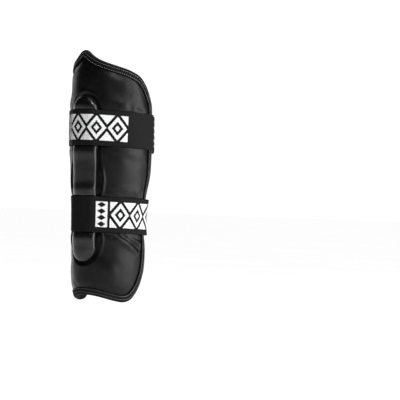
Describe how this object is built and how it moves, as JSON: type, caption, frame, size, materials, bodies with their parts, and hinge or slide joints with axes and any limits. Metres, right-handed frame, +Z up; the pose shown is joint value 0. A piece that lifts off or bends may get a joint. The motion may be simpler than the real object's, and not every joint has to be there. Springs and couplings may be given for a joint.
{
  "type": "kickboxing shin guard",
  "caption": "Padded shin guard with a raised shin bar, bound edge and elastic straps that lap behind the calf.",
  "frame": {"origin": "on the leg's axis, at the height of the shell's lowest point", "axes": "+Z up the leg, the shin faces -Y, +X is the wearer's left"},
  "size_m": [0.1264, 0.1353, 0.354],
  "materials": {
    "shell_hide": "black synthetic hide, soft sheen",
    "bar_hide": "black synthetic hide, a little glossier",
    "binding_tape": "black woven tape",
    "strap_elastic": "black woven elastic with a woven silver ornament",
    "hook_tape": "dark grey hook tape"
  },
  "bodies": {
    "root": {"guard_body": "shell_hide", "shin_bar": "bar_hide", "edge_binding": "binding_tape", "upper_strap": "strap_elastic", "lower_strap": "strap_elastic", "upper_strap_tab": "hook_tape", "lower_strap_tab": "hook_tape"}
  },
  "joints": []
}
